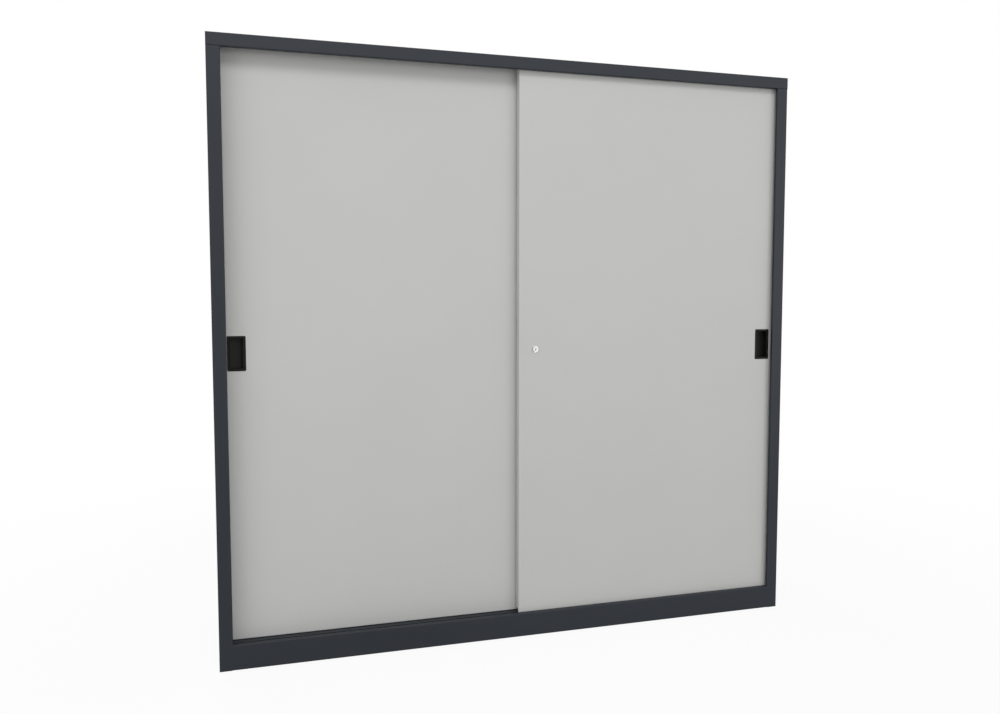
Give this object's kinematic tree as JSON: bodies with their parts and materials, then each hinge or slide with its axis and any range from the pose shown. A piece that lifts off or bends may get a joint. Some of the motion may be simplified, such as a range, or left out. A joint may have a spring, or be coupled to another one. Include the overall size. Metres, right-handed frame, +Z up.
{
  "type": "sliding door cabinet",
  "caption": "Wide folded steel cabinet with two overlapping sliding doors on rollers, recessed pulls, a push lock and adjustable shelves on both sides of a centre wall.",
  "frame": {"origin": "middle of the base, on the floor, halfway between the front and the back", "axes": "+Z up, the doors face -Y, +X to the right as seen from the front"},
  "size_m": [2, 0.5, 1.95],
  "materials": {
    "carcass_paint": "fine-textured powder coat, anthracite",
    "door_paint": "fine-textured powder coat, light grey",
    "shelf_paint": "powder coat, anthracite",
    "pull_plastic": "moulded, black",
    "zinc_steel": "zinc plated",
    "nylon": "natural white",
    "stop_rubber": "black",
    "lock_chrome": "bright nickel"
  },
  "bodies": {
    "carcass": {"back_panel_left": "carcass_paint", "back_panel_right": "carcass_paint", "closing_buffers": "stop_rubber", "corner_gusset_left": "carcass_paint", "corner_gusset_right": "carcass_paint", "floor_bearer": "carcass_paint", "floor_panel": "carcass_paint", "guide_channel": "carcass_paint", "opening_stop_front": "stop_rubber", "opening_stop_rear": "stop_rubber", "partition_skin_left": "carcass_paint", "partition_skin_right": "carcass_paint", "plinth_front": "carcass_paint", "roller_track": "carcass_paint", "shelf_clips": "zinc_steel", "shelf_left_1": "shelf_paint", "shelf_left_2": "shelf_paint", "shelf_left_3": "shelf_paint", "shelf_left_4": "shelf_paint", "shelf_rail_left_front": "shelf_paint", "shelf_rail_left_rear": "shelf_paint", "shelf_rail_right_front": "shelf_paint", "shelf_rail_right_rear": "shelf_paint", "shelf_right_1": "shelf_paint", "shelf_right_2": "shelf_paint", "shelf_right_3": "shelf_paint", "shelf_right_4": "shelf_paint", "side_panel_left": "carcass_paint", "side_panel_right": "carcass_paint", "top_panel": "carcass_paint"},
    "rear_door": {"rear_door_guide_left": "nylon", "rear_door_guide_right": "nylon", "rear_door_handle": "pull_plastic", "rear_door_panel": "door_paint", "rear_door_roller_forks": "zinc_steel", "rear_door_roller_pins": "zinc_steel", "rear_door_stiffener": "door_paint", "lock_keeper": "zinc_steel"},
    "front_door": {"front_door_guide_left": "nylon", "front_door_guide_right": "nylon", "front_door_handle": "pull_plastic", "front_door_panel": "door_paint", "front_door_roller_forks": "zinc_steel", "front_door_roller_pins": "zinc_steel", "front_door_stiffener": "door_paint", "lock_housing": "lock_chrome", "lock_nut": "lock_chrome", "lock_spring": "zinc_steel"},
    "rear_door_roller_left": {"rear_door_roller_left": "nylon"},
    "rear_door_roller_right": {"rear_door_roller_right": "nylon"},
    "front_door_roller_left": {"front_door_roller_left": "nylon"},
    "front_door_roller_right": {"front_door_roller_right": "nylon"},
    "lock_plunger": {"lock_plunger": "lock_chrome"},
    "lock_plug": {"lock_plug": "lock_chrome"}
  },
  "joints": [
    {"name": "rear_door_slide", "type": "slide", "parent": "carcass", "child": "rear_door", "axis": [1, 0, 0], "range_m": [0, 0.86]},
    {"name": "front_door_slide", "type": "slide", "parent": "carcass", "child": "front_door", "axis": [1, 0, 0], "range_m": [-0.86, 0]},
    {"name": "rear_door_roller_left_spin", "type": "hinge", "parent": "rear_door", "child": "rear_door_roller_left", "pos_m": [-0.875, -0.182, 0.0878], "axis": [0, 1, 0], "continuous": true},
    {"name": "rear_door_roller_right_spin", "type": "hinge", "parent": "rear_door", "child": "rear_door_roller_right", "pos_m": [-0.0965, -0.182, 0.0878], "axis": [0, 1, 0], "continuous": true},
    {"name": "front_door_roller_left_spin", "type": "hinge", "parent": "front_door", "child": "front_door_roller_left", "pos_m": [0.0965, -0.218, 0.0878], "axis": [0, 1, 0], "continuous": true},
    {"name": "front_door_roller_right_spin", "type": "hinge", "parent": "front_door", "child": "front_door_roller_right", "pos_m": [0.875, -0.218, 0.0878], "axis": [0, 1, 0], "continuous": true},
    {"name": "lock_push", "type": "slide", "parent": "front_door", "child": "lock_plunger", "axis": [0, 1, 0], "range_m": [0, 0.006], "stiffness_N_per_m": 400, "springref_m": -0.002, "deforming": ["lock_spring"]},
    {"name": "key_turn", "type": "hinge", "parent": "lock_plunger", "child": "lock_plug", "pos_m": [0.0446, -0.228, 0.986], "axis": [0, 1, 0], "range_deg": [0, 90]}
  ],
  "couplings": [
    {"joint": "rear_door_roller_left_spin", "follows": "rear_door_slide", "rad_per_m": 45.455},
    {"joint": "rear_door_roller_right_spin", "follows": "rear_door_slide", "rad_per_m": 45.455},
    {"joint": "front_door_roller_left_spin", "follows": "front_door_slide", "rad_per_m": 45.455},
    {"joint": "front_door_roller_right_spin", "follows": "front_door_slide", "rad_per_m": 45.455}
  ]
}
